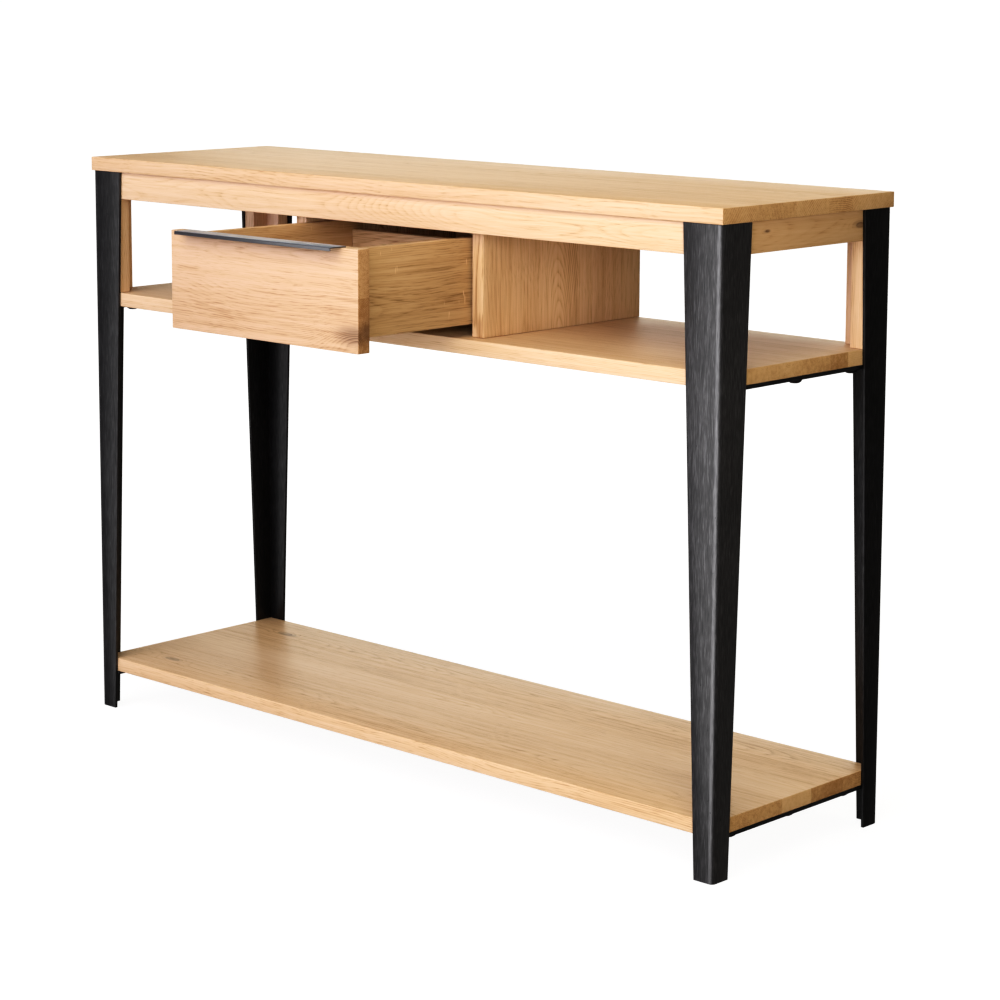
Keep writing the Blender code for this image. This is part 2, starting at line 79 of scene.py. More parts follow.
# ======================================================================================================
# node helpers
# ======================================================================================================
class Graph:
    """Small wrapper that adds and links shader nodes."""

    def __init__(self, tree):
        self.tree = tree

    def add(self, kind, inputs=None, **settings):
        node = self.tree.nodes.new(kind)
        for key, value in settings.items():
            setattr(node, key, value)
        for key, value in (inputs or {}).items():
            self.feed(node.inputs[key], value)
        return node

    def feed(self, socket, value):
        if isinstance(value, bpy.types.NodeSocket):
            self.tree.links.new(value, socket)
        elif isinstance(value, bpy.types.Node):
            self.tree.links.new(value.outputs[0], socket)
        else:
            socket.default_value = value

    def math(self, operation, a, b=0.0, c=0.0, clamp=False):
        return self.add("ShaderNodeMath", {0: a, 1: b, 2: c}, operation=operation, use_clamp=clamp).outputs[0]

    def vector(self, operation, a, b=(0, 0, 0)):
        return self.add("ShaderNodeVectorMath", {0: a, 1: b}, operation=operation).outputs[0]

    def scaled(self, vector, factors):
        return self.vector("MULTIPLY", vector, factors)

    def combine(self, x, y, z):
        return self.add("ShaderNodeCombineXYZ", {0: x, 1: y, 2: z}).outputs[0]

    def noise(self, vector, scale=1.0, detail=2.0, rough=0.5, distortion=0.0):
        inputs = {"Vector": vector, "Scale": scale, "Detail": detail, "Roughness": rough,
                  "Distortion": distortion}
        return self.add("ShaderNodeTexNoise", inputs).outputs["Fac"]

    def spread(self, value, low, high, to_low=0.0, to_high=1.0):
        inputs = {"Value": value, "From Min": low, "From Max": high, "To Min": to_low, "To Max": to_high}
        return self.add("ShaderNodeMapRange", inputs, interpolation_type="SMOOTHSTEP").outputs["Result"]

    def ramp(self, value, stops):
        node = self.add("ShaderNodeValToRGB", {"Fac": value})
        ramp = node.color_ramp
        while len(ramp.elements) < len(stops):
            ramp.elements.new(0.5)
        for element, (place, color) in zip(ramp.elements, stops):
            element.position = place
            element.color = (*color, 1.0)
        return node.outputs["Color"]

    def mix(self, factor, a, b, blend="MIX"):
        node = self.add("ShaderNodeMix", data_type="RGBA", blend_type=blend)
        self.feed(node.inputs["Factor"], factor)
        self.feed(node.inputs["A"], a)
        self.feed(node.inputs["B"], b)
        return node.outputs["Result"]

    def bump(self, height, strength, distance, normal=None):
        inputs = {"Height": height, "Strength": strength, "Distance": distance}
        if normal is not None:
            inputs["Normal"] = normal
        return self.add("ShaderNodeBump", inputs).outputs["Normal"]


def gray(value):
    return (value, value, value)


def shaded(color, factor):
    return tuple(channel * factor for channel in color)


def new_material(name):
    material = bpy.data.materials.new(name)
    material.use_nodes = True
    material.node_tree.nodes.clear()
    g = Graph(material.node_tree)
    shader = g.add("ShaderNodeBsdfPrincipled")
    g.add("ShaderNodeOutputMaterial", {"Surface": shader.outputs[0]})
    return material, g, shader


# ======================================================================================================
# materials
# ======================================================================================================
RING_SPACING = 0.0021
OAK_LIGHT = (0.78, 0.562, 0.352)
OAK_MID = (0.67, 0.448, 0.240)
OAK_DARK = (0.38, 0.205, 0.078)
END_TINT = (0.86, 0.79, 0.65)  # end grain soaks up more oil


def oak_material(name, light=OAK_LIGHT, mid=OAK_MID, dark=OAK_DARK, knots=(), ray_flecks=0.0,
                 ring_strength=0.75, tint=(1.0, 1.0, 1.0), tilt=0.02, spacing=RING_SPACING):
    """Solid oak. The grain runs along the board's own X; rings follow the pith line stored per stave.

    A knot is its place in the board's own axes, its radius and how far it pushes the rings outwards.
    The tilt is how fast the pith line leaves the board along the grain, which draws the crowns.
    """
    material, g, shader = new_material(name)
    coord = g.add("ShaderNodeTexCoord")
    place = coord.outputs["Object"]
    pith = g.add("ShaderNodeAttribute", attribute_name="stave_pith").outputs["Vector"]
    pith_xyz = g.add("ShaderNodeSeparateXYZ", {0: pith})
    pith_y, pith_z, seed = pith_xyz.outputs
    seed_offset = g.combine(g.math("MULTIPLY", seed, 37.0), g.math("MULTIPLY", seed, 13.0), seed)
    xyz = g.add("ShaderNodeSeparateXYZ", {0: place})
    x, y, z = xyz.outputs

    # each stave samples its own part of every noise
    own = g.vector("ADD", place, seed_offset)
    wander_y = g.math("SUBTRACT", g.noise(g.scaled(own, (2.3, 5.0, 5.0)), 1.0, 2.0), 0.5)
    shifted = g.vector("ADD", own, (7.1, 3.3, 5.7))
    wander_z = g.math("SUBTRACT", g.noise(g.scaled(shifted, (1.7, 4.0, 4.0)), 1.0, 2.0), 0.5)
    ripple = g.math("SUBTRACT", g.noise(g.scaled(own, (7.0, 60.0, 60.0)), 1.0, 2.0), 0.5)

    from_y = g.math("SUBTRACT", g.math("MULTIPLY_ADD", wander_y, 0.05, y), pith_y)
    leaning_z = g.math("MULTIPLY_ADD", x, tilt, z)
    from_z = g.math("SUBTRACT", g.math("MULTIPLY_ADD", wander_z, 0.07, leaning_z), pith_z)
    radius = g.math("SQRT", g.math("ADD", g.math("POWER", from_y, 2.0), g.math("POWER", from_z, 2.0)))
    radius = g.math("MULTIPLY_ADD", ripple, 0.0022, radius)

    # knots push the rings aside and darken their middle
    knot_dark = 0.0
    for *centre, size, push in knots:
        away = g.vector("SUBTRACT", place, centre)
        reach = g.scaled(away, (0.35 / size, 1.0 / size, 1.0 / size))
        distance = g.add("ShaderNodeVectorMath", {0: reach}, operation="LENGTH").outputs["Value"]
        near = g.math("EXPONENT", g.math("MULTIPLY", g.math("POWER", distance, 2.0), -1.0))
        radius = g.math("MULTIPLY_ADD", near, push, radius)
        core = g.spread(distance, 0.85, 0.15)
        knot_dark = g.math("MAXIMUM", knot_dark, core)

    rings = g.math("DIVIDE", radius, spacing)
    saw = g.math("FRACT", rings)
    early = g.ramp(saw, ((0.0, gray(0.25)), (0.10, gray(1.0)), (0.34, gray(0.45)), (0.75, gray(0.0)),
                         (1.0, gray(0.25))))
    ring_vigour = g.spread(g.noise(g.scaled(own, (1.5, 22.0, 22.0)), 1.0, 1.0), 0.25, 0.75, 0.30, 1.0)
    ring_line = g.math("MULTIPLY", early, g.math("MULTIPLY", ring_vigour, ring_strength))

    # fibres and open pores, drawn out along the grain
    fibre = g.noise(g.scaled(own, (16.0, 900.0, 900.0)), 1.0, 3.0, 0.6)
    streak = g.noise(g.scaled(own, (3.5, 170.0, 170.0)), 1.0, 3.0, 0.55)
    sway = g.math("SUBTRACT", g.noise(g.scaled(own, (8.0, 9.0, 9.0)), 1.0, 1.0), 0.5)
    drift = g.math("MULTIPLY", sway, 0.016)
    swaying = g.vector("ADD", own, g.combine(0.0, drift, drift))
    vessel_noise = g.noise(g.scaled(swaying, (9.0, 740.0, 740.0)), 1.0, 2.0, 0.6)
    vessel = g.math("MULTIPLY", g.spread(vessel_noise, 0.42, 0.76), g.math("MULTIPLY_ADD", early, 0.45, 0.55))
    cloud = g.noise(g.scaled(own, (2.0, 14.0, 14.0)), 1.0, 2.0)
    pore_noise = g.noise(g.scaled(own, (55.0, 1500.0, 1500.0)), 1.0, 1.0)
    pore = g.math("MULTIPLY", g.spread(pore_noise, 0.60, 0.72), g.math("MULTIPLY_ADD", early, 0.8, 0.2))

    normal_xyz = g.add("ShaderNodeSeparateXYZ", {0: coord.outputs["Normal"]})
    end_face = g.spread(g.math("ABSOLUTE", normal_xyz.outputs[0]), 0.55, 0.9)
    end_pore = g.spread(g.noise(g.scaled(own, (200.0, 1700.0, 1700.0)), 1.0, 2.0, 0.6), 0.52, 0.66)

    tone = g.math("MULTIPLY_ADD", g.spread(streak, 0.30, 0.72), 0.26, g.math("MULTIPLY", ring_line, 0.30))
    tone = g.math("MULTIPLY_ADD", g.spread(fibre, 0.25, 0.8), 0.16, tone)
    tone = g.math("MULTIPLY_ADD", vessel, 0.46, tone)
    tone = g.math("MULTIPLY_ADD", g.spread(cloud, 0.3, 0.7), 0.16, tone)
    tone = g.math("MULTIPLY_ADD", pore, 0.30, tone)
    stave_tone = g.add("ShaderNodeTexWhiteNoise", {"W": seed}, noise_dimensions="1D").outputs["Value"]
    tone = g.math("MULTIPLY_ADD", g.math("SUBTRACT", stave_tone, 0.5), 0.26, tone)
    tone = g.math("MULTIPLY_ADD", g.math("MULTIPLY", end_face, end_pore), 0.22, tone)
    tone = g.math("MULTIPLY_ADD", g.math("MULTIPLY", end_face, ring_line), 0.45, tone)
    own_end = g.math("MULTIPLY", end_face, g.math("SUBTRACT", stave_tone, 0.5))
    tone = g.math("MULTIPLY_ADD", own_end, 0.40, tone)

    color = g.ramp(tone, ((0.0, light), (0.52, mid), (1.0, dark)))
    color = g.mix(end_face, color, g.mix(1.0, color, (*END_TINT, 1.0), "MULTIPLY"))
    if tint != (1.0, 1.0, 1.0):
        color = g.mix(1.0, color, (*tint, 1.0), "MULTIPLY")
    if ray_flecks:
        # rays show as thin light lines that run slightly askew, across the grain
        fleck_noise = g.noise(g.scaled(own, (260.0, 45.0, 45.0)), 1.0, 1.0)
        patch = g.spread(g.noise(g.scaled(own, (14.0, 14.0, 14.0)), 1.0, 1.0), 0.52, 0.62)
        fleck = g.math("MULTIPLY", g.spread(fleck_noise, 0.70, 0.75), g.math("MULTIPLY", patch, ray_flecks))
        color = g.mix(fleck, color, (*light, 1.0))
    if knots:
        patchy = g.math("MULTIPLY", knot_dark, g.math("MULTIPLY_ADD", early, 0.45, 0.45))
        color = g.mix(patchy, color, (0.10, 0.045, 0.018, 1.0))

    g.feed(shader.inputs["Base Color"], color)
    roughness = g.math("MULTIPLY_ADD", g.spread(streak, 0.2, 0.8), 0.10, 0.44)
    g.feed(shader.inputs["Roughness"], g.math("MULTIPLY_ADD", pore, 0.18, roughness))
    shader.inputs["Specular IOR Level"].default_value = 0.35
    height = g.math("MULTIPLY_ADD", pore, -0.7, g.math("MULTIPLY", fibre, -0.35))
    height = g.math("MULTIPLY_ADD", ring_line, -0.30, height)
    g.feed(shader.inputs["Normal"], g.bump(height, 0.35, 0.00035))
    return material


def steel_material(name, along, base=0.055, bright=0.13, metallic=0.80, rough=0.34, painted_fold_highlight=False):
    """Blackened steel, brushed along one world axis, with worn bright dashes, a few dark spots and, if asked,
    a painted highlight along the leg's bend.
    """
    material, g, shader = new_material(name)
    place = g.add("ShaderNodeTexCoord").outputs["Object"]
    fine = [1500.0, 1500.0, 1500.0]
    dashes = [950.0, 950.0, 950.0]
    coarse = [260.0, 260.0, 260.0]
    fine["XYZ".index(along)] = 40.0
    dashes["XYZ".index(along)] = 62.0
    coarse["XYZ".index(along)] = 9.0
    scratch = g.noise(g.scaled(place, fine), 1.0, 3.0, 0.65)
    dash = g.noise(g.scaled(place, dashes), 1.0, 2.0, 0.6)
    band = g.noise(g.scaled(place, coarse), 1.0, 3.0, 0.6)
    cloud = g.noise(place, 9.0, 3.0, 0.55)
    speck = g.spread(g.noise(place, 210.0, 1.0), 0.77, 0.83)
    shine = g.math("MULTIPLY_ADD", g.spread(scratch, 0.25, 0.8), 0.30, g.math("MULTIPLY", band, 0.25))
    shine = g.math("MULTIPLY_ADD", g.spread(dash, 0.35, 0.75), 0.36, shine)
    shine = g.math("MULTIPLY_ADD", g.spread(cloud, 0.3, 0.75), 0.12, g.math("ADD", shine, 0.03))
    color = g.ramp(shine, ((0.10, gray(base * 0.45)), (0.50, (base, base * 0.985, base * 0.99)),
                           (1.0, (bright, bright * 0.99, bright))))
    if painted_fold_highlight:
        # painted highlight: a bright band along the start of the bend on the wider face, where the rounded
        # corner catches the light
        low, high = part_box("leg_front_right")
        top_low, top_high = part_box("top_board")
        axis_y = (top_low.y + top_high.y) / 2
        xyz = g.add("ShaderNodeSeparateXYZ", {0: place})
        from_x = g.math("SUBTRACT", high.x, g.math("ABSOLUTE", xyz.outputs[0]))
        off_axis = g.math("ABSOLUTE", g.math("SUBTRACT", xyz.outputs[1], axis_y))
        from_y = g.math("SUBTRACT", axis_y - low.y, off_axis)
        bend_highlight = g.math("MULTIPLY", g.spread(from_x, 0.0085, 0.0060), g.spread(from_x, 0.0020, 0.0045))
        bend_highlight = g.math("MULTIPLY", bend_highlight, g.spread(from_y, 0.0036, 0.0022))
        bend_highlight = g.math("MULTIPLY", bend_highlight, g.spread(dash, 0.25, 0.65, 0.35, 1.0))
        color = g.mix(g.math("MULTIPLY", bend_highlight, 0.75), color, (bright, bright * 0.99, bright, 1.0))
    color = g.mix(g.math("MULTIPLY", speck, 0.6), color, (0.012, 0.011, 0.011, 1.0))
    g.feed(shader.inputs["Base Color"], color)
    shader.inputs["Metallic"].default_value = metallic
    varied = g.math("MULTIPLY_ADD", g.spread(scratch, 0.2, 0.8), -0.10, rough + 0.05)
    g.feed(shader.inputs["Roughness"], g.math("MULTIPLY_ADD", g.spread(cloud, 0.3, 0.7), 0.06, varied))
    height = g.math("MULTIPLY_ADD", scratch, 0.5, g.math("MULTIPLY", dash, 0.5))
    g.feed(shader.inputs["Normal"], g.bump(height, 0.30, 0.00015))
    return material


def metal_material(name, color, along, rough, metallic=1.0, bump=0.12, painted_top_reflection=None):
    """Plain sheet metal with a faint brushing or rolling direction; its upper faces may get a painted
    reflection, a lighter bluish colour.
    """
    material, g, shader = new_material(name)
    place = g.add("ShaderNodeTexCoord").outputs["Object"]
    stretch = [1800.0, 1800.0, 1800.0]
    stretch["XYZ".index(along)] = 16.0
    brushing = g.noise(g.scaled(place, stretch), 1.0, 3.0, 0.6)
    cloud = g.noise(place, 40.0, 3.0)
    tone = g.math("MULTIPLY_ADD", brushing, 0.6, g.math("MULTIPLY", cloud, 0.4))
    finish = g.ramp(tone, ((0.25, shaded(color, 0.80)), (0.75, shaded(color, 1.16))))
    # painted reflection: the upward faces are coloured lighter and bluer, as if mirroring the bright space
    # above
    if painted_top_reflection is not None:
        normal_xyz = g.add("ShaderNodeSeparateXYZ", {0: g.add("ShaderNodeTexCoord").outputs["Normal"]})
        upper = g.ramp(tone, ((0.25, shaded(painted_top_reflection, 0.88)), (0.75, shaded(painted_top_reflection, 1.1))))
        finish = g.mix(g.spread(normal_xyz.outputs[2], 0.6, 0.95), finish, upper)
    g.feed(shader.inputs["Base Color"], finish)
    shader.inputs["Metallic"].default_value = metallic
    g.feed(shader.inputs["Roughness"], g.math("MULTIPLY_ADD", brushing, 0.16, rough - 0.08))
    g.feed(shader.inputs["Normal"], g.bump(brushing, bump, 0.0001))
    return material


def plastic_material(name, color, rough):
    material, g, shader = new_material(name)
    place = g.add("ShaderNodeTexCoord").outputs["Object"]
    grain = g.noise(place, 2600.0, 2.0)
    scuff = g.noise(place, 120.0, 4.0, 0.6)
    tone = g.math("MULTIPLY_ADD", scuff, 0.7, g.math("MULTIPLY", grain, 0.3))
    g.feed(shader.inputs["Base Color"],
           g.ramp(tone, ((0.3, shaded(color, 0.75)), (0.7, shaded(color, 1.3)))))
    g.feed(shader.inputs["Roughness"], g.math("MULTIPLY_ADD", scuff, 0.2, rough - 0.1))
    g.feed(shader.inputs["Normal"], g.bump(grain, 0.25, 0.00005))
    return material


OAK = oak_material("oak_oiled")
OAK_FRONT = oak_material("oak_drawer_front", ring_strength=0.70, tint=(0.90, 0.875, 0.91),
                         knots=((0.176, -0.044, 0.010, 0.023, 0.014), (0.185, -0.040, -0.004, 0.024, 0.006)))
OAK_TOP = oak_material("oak_top", ring_strength=0.95, tint=(0.96, 0.945, 0.95), spacing=0.0029)
# the right end's apron is tinted darker and warmer: partly a darker board, partly painted shade on the side
# that faces away from the lamps
OAK_RIGHT_END = oak_material("oak_right_end", tint=(0.80, 0.72, 0.62), ring_strength=0.85,
                             knots=((0.112, 0.002, 0.010, 0.009, 0.008),
                                    (-0.081, 0.006, 0.010, 0.004, 0.003)))
OAK_MIDDLE_SHELF = oak_material("oak_middle_shelf")
OAK_LOW_SHELF = oak_material("oak_low_shelf",
                             knots=((-0.501, -0.114, 0.010, 0.010, 0.008),
                                    (-0.490, 0.110, 0.010, 0.012, 0.010)))
OAK_DIVIDER = oak_material("oak_divider", ring_strength=2.3, tilt=0.12, spacing=0.0026)
# painted light: the drawer's back wall sits in shade and gets a lighter copy of the drawer oak
OAK_DRAWER_BACK_PAINTED_LIGHT = oak_material("oak_drawer_back_painted_light", light=(0.84, 0.64, 0.38), mid=(0.74, 0.54, 0.28))
OAK_DRAWER = oak_material("oak_drawer_box", light=(0.74, 0.505, 0.290), mid=(0.58, 0.365, 0.175),
                          dark=(0.26, 0.140, 0.048), ray_flecks=0.8, tint=(0.86, 0.86, 0.84))
# lit and shaded copies of one blackened steel: the front right leg is painted lighter as if lit, the front
# left leg less so, and the back legs are painted darker as shade
LEG_STEEL_PAINTED_LIGHT = {
    "front_right": steel_material("blackened_steel_leg_painted_lit", "Z", base=0.088, bright=0.22, painted_fold_highlight=True),
    "front_left": steel_material("blackened_steel_leg_painted_half_shade", "Z", base=0.045, bright=0.105, painted_fold_highlight=True),
    "back_left": steel_material("blackened_steel_leg_painted_shade", "Z", base=0.024, bright=0.065),
}
LEG_STEEL_PAINTED_LIGHT["back_right"] = LEG_STEEL_PAINTED_LIGHT["back_left"]
BAR_STEEL = steel_material("blackened_steel_bars", "Y", base=0.040, bright=0.09)
BOLT_STEEL = steel_material("blackened_steel_bolts", "Z", base=0.040, bright=0.08, rough=0.36)
ZINC = metal_material("zinc_sheet", (0.50, 0.50, 0.49), "Y", 0.38)
SCREW_ZINC = metal_material("zinc_screws", (0.56, 0.56, 0.54), "X", 0.32)
# the last colour is the pull's painted reflection on its upward faces
PULL_METAL = metal_material("anodised_pull", (0.13, 0.13, 0.133), "X", 0.34, 0.75, 0.2,
                            (0.50, 0.56, 0.66))
CLIP_PLASTIC = plastic_material("clip_plastic", (0.035, 0.035, 0.037), 0.55)


# ======================================================================================================
# shapes
# ======================================================================================================
AXES = {"X": Vector((1, 0, 0)), "Y": Vector((0, 1, 0)), "Z": Vector((0, 0, 1))}


def board_frame(centre, axes):
    """Matrix of a board whose local X, Y and Z are its grain, width and thickness directions."""
    grain, width = AXES[axes[0]], AXES[axes[1]]
    thick = grain.cross(width)
    turn = Matrix((grain, width, thick)).transposed()
    return Matrix.Translation(centre) @ turn.to_4x4()


def box_mesh(low, high):
    bm = bmesh.new()
    bmesh.ops.create_cube(bm, size=1.0)
    bmesh.ops.scale(bm, vec=high - low, verts=bm.verts)
    bmesh.ops.translate(bm, vec=(low + high) / 2, verts=bm.verts)
    return bm


def prism_mesh(outline, axis, start, stop):
    """An outline in the plane across axis ("X": y, z; "Y": x, z), extruded from start to stop."""
    bm = bmesh.new()
    if axis == "X":
        ring = [bm.verts.new((start, a, b)) for a, b in outline]
        step = (stop - start, 0, 0)
    else:
        ring = [bm.verts.new((a, start, b)) for a, b in outline]
        step = (0, stop - start, 0)
    made = bmesh.ops.extrude_face_region(bm, geom=[bm.faces.new(ring)])
    moved = [v for v in made["geom"] if isinstance(v, bmesh.types.BMVert)]
    bmesh.ops.translate(bm, vec=step, verts=moved)
    bmesh.ops.recalc_face_normals(bm, faces=bm.faces)
    return bm


def round_edges(bm, width, steps, least_angle=40.0):
    """Rounds the convex edges that are sharper than least_angle."""
    bm.normal_update()
    sharp = [e for e in bm.edges if e.is_manifold and e.is_convex
             and math.degrees(e.calc_face_angle(0.0)) > least_angle]
    bmesh.ops.bevel(bm, geom=sharp, offset=width, segments=steps, profile=0.5, affect="EDGES",
                    clamp_overlap=True)


def stave_edges(width, measured=None):
    """Boundaries of the glued staves across a board, from -width / 2 to width / 2."""
    if measured is not None:
        return [-width / 2, *measured, width / 2]
    edges = [-width / 2]
    while True:
        step = rng.uniform(*STAVE_WIDTHS)
        if edges[-1] + step > width / 2 - STAVE_WIDTHS[0] * 0.5:
            break
        edges.append(edges[-1] + step)
    edges.append(width / 2)
    return edges


def random_pith(low, high, cut):
    """Pith line beside a stave, by how the stave was sawn, and a random seed."""
    middle, reach = (low + high) / 2, (high - low)
    side = rng.choice((-1, 1))
    if cut == "flat":
        place = (middle + rng.uniform(-0.3, 0.3) * reach, side * rng.uniform(0.030, 0.055))
    elif cut == "crown":
        place = (middle, -0.045)
    elif cut == "rift":
        place = (middle + rng.choice((-1, 1)) * rng.uniform(0.07, 0.12), side * rng.uniform(0.05, 0.09))
    else:
        place = (middle + rng.choice((-1, 1)) * rng.uniform(0.12, 0.20), side * rng.uniform(0.005, 0.02))
    return (*place, rng.uniform(0.5, 9.5))


def finish_board(name, bm, low, high, axes, material, body, nodes, staves=None, cuts=None):
    """Splits a board into staves and turns it into an object that stands for its CAD node."""
    matrix = board_frame((low + high) / 2, axes)
    bm.transform(matrix.inverted())
    width = abs((high - low).dot(AXES[axes[1]]))
    edges = stave_edges(width, staves)
    for place in edges[1:-1]:
        geom = bm.verts[:] + bm.edges[:] + bm.faces[:]
        bmesh.ops.bisect_plane(bm, geom=geom, plane_co=(0, place, 0), plane_no=(0, 1, 0), dist=1e-7)
    kinds = cuts or [rng.choice(("flat", "rift", "rift", "quarter")) for _ in edges[1:]]
    piths = [random_pith(a, b, cut) for a, b, cut in zip(edges, edges[1:], kinds)]
    layer = bm.faces.layers.float_vector.new("stave_pith")
    for face in bm.faces:
        middle = face.calc_center_median().y
        index = sum(middle > place for place in edges[1:-1])
        face[layer] = piths[index]
        face.smooth = True
    mesh = bpy.data.meshes.new(name)
    bm.to_mesh(mesh)
    bm.free()
    mesh.set_sharp_from_angle(angle=SHADE_ANGLE)
    item = bpy.data.objects.new(name, mesh)
    bpy.context.scene.collection.objects.link(item)
    item.matrix_world = matrix
    mesh.materials.append(material)
    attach(item, body)
    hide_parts(*nodes)
    return item


def oak_board(node, axes, material=OAK, body="table", staves=None, cuts=None, edge=OAK_ROUND):
    low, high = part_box(node)
    bm = box_mesh(low, high)
    round_edges(bm, edge, ROUND_STEPS)
    return finish_board("wood_" + node, bm, low, high, axes, material, body, [node], staves, cuts)


# ======================================================================================================
# oak case
# ======================================================================================================
def build_case():
    oak_board("top_board", "XYZ", OAK_TOP, staves=[-0.109, -0.0314, 0.0365, 0.085],
              cuts=["rift", "quarter", "rift", "flat", "rift"])
    oak_board("apron_front", "XZY", staves=[], cuts=["flat"])
    oak_board("apron_back", "XZY", staves=[], cuts=["flat"])
    for side, finish in zip(SIDES, (OAK, OAK_RIGHT_END)):
        oak_board("apron_" + side, "YZX", finish, staves=[], cuts=["flat"])
    for corner in CORNERS:
        oak_board("post_side_" + corner, "ZYX", staves=[], cuts=["rift"])
        oak_board("post_face_" + corner, "ZXY", staves=[], cuts=["rift"])
    oak_board("middle_shelf", "XYZ", OAK_MIDDLE_SHELF, staves=[-0.0868, -0.012, 0.0545, 0.0914],
              cuts=["rift", "flat", "quarter", "rift", "flat"])
    oak_board("low_shelf", "XYZ", OAK_LOW_SHELF, staves=[-0.0955, -0.0283, 0.0326, 0.101],
              cuts=["flat", "rift", "flat", "rift", "flat"])
    oak_board("bay_back_panel", "XZY", staves=[0.0], cuts=["rift", "flat"])
    build_dividers()


def build_dividers():
    """The uprights keep the notch that lets them pass over the back apron."""
    apron_low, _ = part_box("apron_back")
    for side in SIDES:
        node = "divider_" + side
        low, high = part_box(node)
        notch_y, notch_z = apron_low.y - GAP, apron_low.z - GAP
        outline = [(low.y, low.z), (high.y, low.z), (high.y, notch_z), (notch_y, notch_z),
                   (notch_y, high.z), (low.y, high.z)]
        bm = prism_mesh(outline, "X", low.x, high.x)
        round_edges(bm, OAK_ROUND, ROUND_STEPS)
        finish_board("wood_" + node, bm, low, high, "ZYX", OAK_DIVIDER, "table", [node],
                     [-0.049, 0.027, 0.085], ["quarter", "crown", "quarter", "rift"])


# ======================================================================================================
# drawer
# ======================================================================================================
def build_drawer():
    low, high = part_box("drawer_front")
    bm = box_mesh(low, high)
    round_edges(bm, OAK_ROUND, ROUND_STEPS)
    cut_pull_slot(bm, high.z)
    finish_board("wood_drawer_front", bm, low, high, "XZY", OAK_FRONT, "drawer", ["drawer_front"],
                 [0.004], ["rift", "flat"])
    bottom_low, bottom_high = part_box("drawer_bottom")
    for side, sign in zip(SIDES, (-1, 1)):
        node = "drawer_side_" + side
        low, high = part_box(node)
        outer, inner = (high.x, low.x) if sign > 0 else (low.x, high.x)
        groove = (bottom_high.x if sign > 0 else bottom_low.x) + sign * GAP
        foot, top = bottom_low.z - GAP, bottom_high.z + GAP
        outline = [(outer, low.z), (outer, high.z), (inner, high.z), (inner, top), (groove, top),
                   (groove, foot), (inner, foot), (inner, low.z)]
        bm = prism_mesh(outline, "Y", low.y, high.y)
        round_edges(bm, DRAWER_ROUND, ROUND_STEPS)
        finish_board("wood_" + node, bm, low, high, "YZX", OAK_DRAWER, "drawer", [node],
                     [], ["flat"])
    oak_board("drawer_back", "XZY", OAK_DRAWER_BACK_PAINTED_LIGHT, "drawer", [], ["flat"], DRAWER_ROUND)
    oak_board("drawer_bottom", "XYZ", OAK_DRAWER, "drawer", [-0.07, 0.01, 0.08], None,
              DRAWER_ROUND)


def cut_pull_slot(bm, top):
    """Opens the slot for the pull's tongue in the front's flat top face."""
    pull_low, pull_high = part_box("edge_pull")
    low = Vector((pull_low.x - GAP, pull_high.y - PULL_PLATE - GAP, pull_low.z))
    high = Vector((pull_high.x + GAP, pull_high.y + GAP, top))
    bm.faces.ensure_lookup_table()
    face = max(bm.faces, key=lambda f: (f.normal.z > 0.99) * f.calc_area())
    corners = [(low.x, low.y), (high.x, low.y), (high.x, high.y), (low.x, high.y)]
    signs = [(-1, -100), (1, -100), (1, 100), (-1, 100)]
    ring = [max(face.verts, key=lambda v: sx * v.co.x + sy * v.co.y) for sx, sy in signs]
    rim = [bm.verts.new((a, b, top)) for a, b in corners]
    floor = [bm.verts.new((a, b, low.z - GAP)) for a, b in corners]
    bmesh.ops.delete(bm, geom=[face], context="FACES_ONLY")
    for i in range(4):
        j = (i + 1) % 4
        bm.faces.new((ring[i], ring[j], rim[j], rim[i]))
        bm.faces.new((rim[i], rim[j], floor[j], floor[i]))
    bm.faces.new(floor)
    bmesh.ops.recalc_face_normals(bm, faces=bm.faces)


# ======================================================================================================
# metal
# ======================================================================================================
def refined(node, material, body, width, steps=2, least_angle=40.0):
    """A copy of a CAD piece with its edges softly broken."""
    bm = bmesh.new()
    bm.from_mesh(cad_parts[node].data)
    bmesh.ops.remove_doubles(bm, verts=bm.verts, dist=WELD)
    bmesh.ops.dissolve_limit(bm, angle_limit=math.radians(0.5), verts=bm.verts, edges=bm.edges)
    round_edges(bm, width, steps, least_angle)
    for face in bm.faces:
        face.smooth = True
    mesh = bpy.data.meshes.new("metal_" + node)
    bm.to_mesh(mesh)
    bm.free()
    mesh.set_sharp_from_angle(angle=SHADE_ANGLE)
    mesh.materials.clear()
    mesh.materials.append(material)
    item = bpy.data.objects.new("metal_" + node, mesh)
    bpy.context.scene.collection.objects.link(item)
    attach(item, body)
    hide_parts(node)
    return item


def repaint(node, material):
    """A CAD piece whose shape is right keeps it and gets its finish."""
    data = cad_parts[node].data
    data.materials.clear()
    data.materials.append(material)


def build_metal():
    for corner in CORNERS:
        refined("leg_" + corner, LEG_STEEL_PAINTED_LIGHT[corner], "table", STEEL_ROUND)
    for level in ("middle", "low"):
        for side in SIDES:
            refined(f"crossbar_{level}_{side}", BAR_STEEL, "table", STEEL_ROUND)
            for number in (1, 2, 3):
                repaint(f"bolt_{level}_{side}_{number}", BOLT_STEEL)
    refined("edge_pull", PULL_METAL, "drawer", PULL_ROUND)
    for side in SIDES:
        repaint("cabinet_rail_" + side, ZINC)
        repaint("drawer_rail_" + side, ZINC)
        repaint("middle_rail_" + side, ZINC)
        refined("locking_clip_" + side, CLIP_PLASTIC, "drawer", CLIP_ROUND)
        for number in (1, 2):
            repaint(f"rail_screw_{side}_{number}", SCREW_ZINC)


